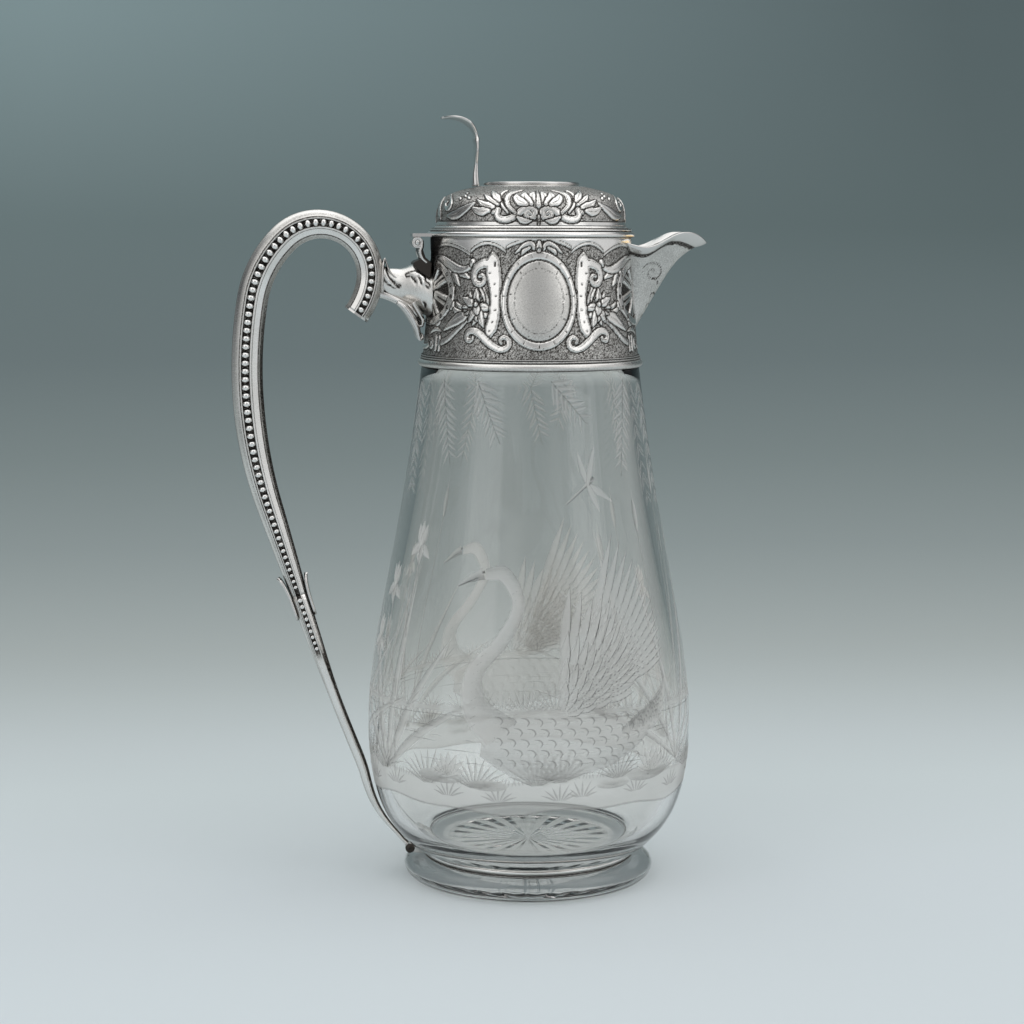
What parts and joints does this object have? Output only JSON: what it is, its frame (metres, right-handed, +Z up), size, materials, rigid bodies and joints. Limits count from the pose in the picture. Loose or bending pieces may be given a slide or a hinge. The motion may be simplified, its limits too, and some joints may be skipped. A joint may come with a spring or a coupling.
{
  "type": "claret jug",
  "caption": "Clear glass claret jug with a swelling bowl, chased silver collar, pinched pouring spout, domed hinged lid with a thumbpiece, and a beaded silver handle.",
  "frame": {"origin": "centre of the glass foot's resting face", "axes": "+Z up, +X towards the spout, -X towards the handle, the hinge's pin lies along Y"},
  "size_m": [0.1744, 0.1194, 0.2806],
  "materials": {
    "clear_glass": "clear blown glass, cut foot",
    "plaster": "white plaster cement",
    "polished_silver": "polished silver",
    "chased_silver": "chased silver with a dark matted ground",
    "gilt_lined_silver": "silver gilt on the inside",
    "bright_beads": "bright cast beads",
    "dark_silver": "tarnished silver"
  },
  "bodies": {
    "jug": {"glass_body": "clear_glass", "neck_cement": "plaster", "collar_sleeve": "chased_silver", "collar_moulding": "polished_silver", "spout_body": "gilt_lined_silver", "spout_lip": "polished_silver", "hinge_bracket": "dark_silver", "hinge_pin": "polished_silver", "handle_bracket": "polished_silver", "handle_shell": "polished_silver", "handle_end_cap": "polished_silver", "bead_row_front": "bright_beads", "bead_row_rear": "bright_beads", "handle_stem": "polished_silver", "handle_leaves": "polished_silver", "foot_ring": "polished_silver", "ring_bolt": "dark_silver", "ring_nut": "dark_silver"},
    "lid": {"lid_hinge_leaf": "polished_silver", "lid_flange": "polished_silver", "lid_bezel": "gilt_lined_silver", "lid_dome": "chased_silver", "lid_disc": "polished_silver", "thumbpiece": "polished_silver"}
  },
  "joints": [
    {"name": "lid_hinge", "type": "hinge", "parent": "jug", "child": "lid", "pos_m": [-0.04174, 0, 0.2349], "axis": [0, -1, 0], "range_deg": [0, 84]}
  ]
}
